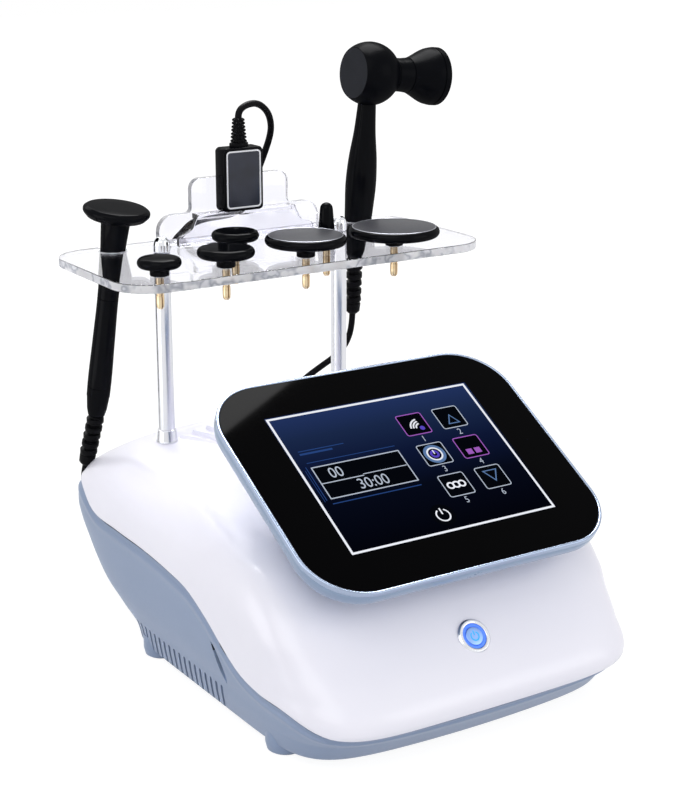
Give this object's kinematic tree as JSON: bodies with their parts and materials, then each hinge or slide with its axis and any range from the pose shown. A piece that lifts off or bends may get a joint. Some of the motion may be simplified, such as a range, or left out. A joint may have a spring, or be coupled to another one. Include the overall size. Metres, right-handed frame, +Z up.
{
  "type": "radio frequency skin-care machine",
  "caption": "Desktop skin-care machine: white shell on a blue-grey base, tilted touch screen, lit power button, clear acrylic tray on posts with corded handles and loose treatment heads.",
  "frame": {"origin": "centre of the four foot holes, on the table", "axes": "+Z up, +X to the right seen from the front, -Y towards the front with the power button"},
  "size_m": [0.3254, 0.4343, 0.4165],
  "materials": {
    "white_shell": "gloss white",
    "blue_grey_base": "satin blue-grey",
    "silver_blue_housing": "smooth pale steel blue",
    "foot_rubber": "matt",
    "screw_steel": "plain",
    "socket_plastic": "moulded",
    "supply_case": "plain",
    "sink_alloy": "extruded",
    "board_green": "solder mask",
    "glass_black": "black behind glass",
    "rim_metal": "bright line",
    "display": "unlit display",
    "ring_blue": "lit blue",
    "cap_silver": "satin",
    "post_alloy": "polished",
    "acrylic": "clear acrylic, faint lavender",
    "head_black": "gloss black",
    "pin_brass": "turned",
    "grip_black": "gloss black",
    "label_grey": "plain plate",
    "cord_black": "smooth"
  },
  "bodies": {
    "machine": {"upper_shell": "white_shell", "tablet_neck": "white_shell", "lower_shell": "blue_grey_base", "rear_panel": "blue_grey_base", "tablet_housing": "silver_blue_housing", "foot_pads": "foot_rubber", "case_screws": "screw_steel", "tablet_screws": "screw_steel", "post_nuts": "screw_steel", "chassis_plate": "screw_steel", "board_standoffs": "screw_steel", "handle_sockets": "socket_plastic", "mains_inlet": "socket_plastic", "button_barrel": "socket_plastic", "fan_frame": "socket_plastic", "power_supply": "supply_case", "heat_sink": "sink_alloy", "rf_board": "board_green", "control_board": "board_green", "front_glass": "glass_black", "tablet_rim": "rim_metal", "button_bezel": "rim_metal", "lcd_panel": "display", "button_light_ring": "ring_blue", "post_left": "post_alloy", "post_right": "post_alloy", "post_collars": "post_alloy", "post_caps": "post_alloy", "tray": "acrylic", "rest_back_plate": "acrylic", "rest_step": "acrylic", "left_cord_run": "cord_black", "left_cord_coil": "cord_black", "left_cord_rise": "cord_black", "hammer_cord_run": "cord_black", "hammer_cord_coil": "cord_black", "hammer_cord_plug": "cord_black"},
    "power_button": {"button_cap": "cap_silver"},
    "fan_rotor_body": {"fan_rotor": "socket_plastic"},
    "small_head_body": {"small_head": "head_black", "small_pin": "pin_brass"},
    "medium_head_body": {"medium_head": "head_black", "medium_pin": "pin_brass"},
    "large_head_body": {"large_head": "head_black", "large_pin": "pin_brass"},
    "wide_head_body": {"wide_head": "head_black", "wide_pin": "pin_brass"},
    "dish_head_body": {"dish_head": "head_black", "dish_pin": "pin_brass"},
    "bullet_head_body": {"bullet_head": "head_black", "bullet_pin": "pin_brass"},
    "left_handle": {"handle_disc": "head_black", "handle_grip": "grip_black", "handle_relief": "cord_black"},
    "hammer_handle": {"hammer_head": "head_black", "hammer_grip": "grip_black", "hammer_relief": "cord_black"},
    "flat_plug": {"plug_case": "grip_black", "plug_label": "label_grey", "plug_relief": "cord_black"}
  },
  "joints": [
    {"name": "power_button_press", "type": "slide", "parent": "machine", "child": "power_button", "axis": [0, 0.7431, -0.6691], "range_m": [0, 0.0016], "stiffness_N_per_m": 400},
    {"name": "fan_spin", "type": "hinge", "parent": "machine", "child": "fan_rotor_body", "pos_m": [0.103, 0.015, 0.049], "axis": [1, 0, 0], "continuous": true},
    {"name": "small_head_lift", "type": "slide", "parent": "machine", "child": "small_head_body", "axis": [0, 0, 1], "range_m": [0, 0.04]},
    {"name": "medium_head_lift", "type": "slide", "parent": "machine", "child": "medium_head_body", "axis": [0, 0, 1], "range_m": [0, 0.04]},
    {"name": "large_head_lift", "type": "slide", "parent": "machine", "child": "large_head_body", "axis": [0, 0, 1], "range_m": [0, 0.04]},
    {"name": "wide_head_lift", "type": "slide", "parent": "machine", "child": "wide_head_body", "axis": [0, 0, 1], "range_m": [0, 0.04]},
    {"name": "dish_head_lift", "type": "slide", "parent": "machine", "child": "dish_head_body", "axis": [0, 0, 1], "range_m": [0, 0.04]},
    {"name": "bullet_head_lift", "type": "slide", "parent": "machine", "child": "bullet_head_body", "axis": [0, 0, 1], "range_m": [0, 0.04]},
    {"name": "left_handle_lift", "type": "slide", "parent": "machine", "child": "left_handle", "axis": [0.081, -0.1347, 0.9876], "range_m": [0, 0.06], "deforming": ["left_cord_run"]},
    {"name": "hammer_handle_lift", "type": "slide", "parent": "machine", "child": "hammer_handle", "axis": [0.0339, -0.0817, 0.9961], "range_m": [0, 0.06], "deforming": ["hammer_cord_run"]},
    {"name": "flat_plug_lift", "type": "slide", "parent": "machine", "child": "flat_plug", "axis": [0, 0, 1], "range_m": [0, 0.03], "deforming": ["left_cord_rise"]}
  ]
}
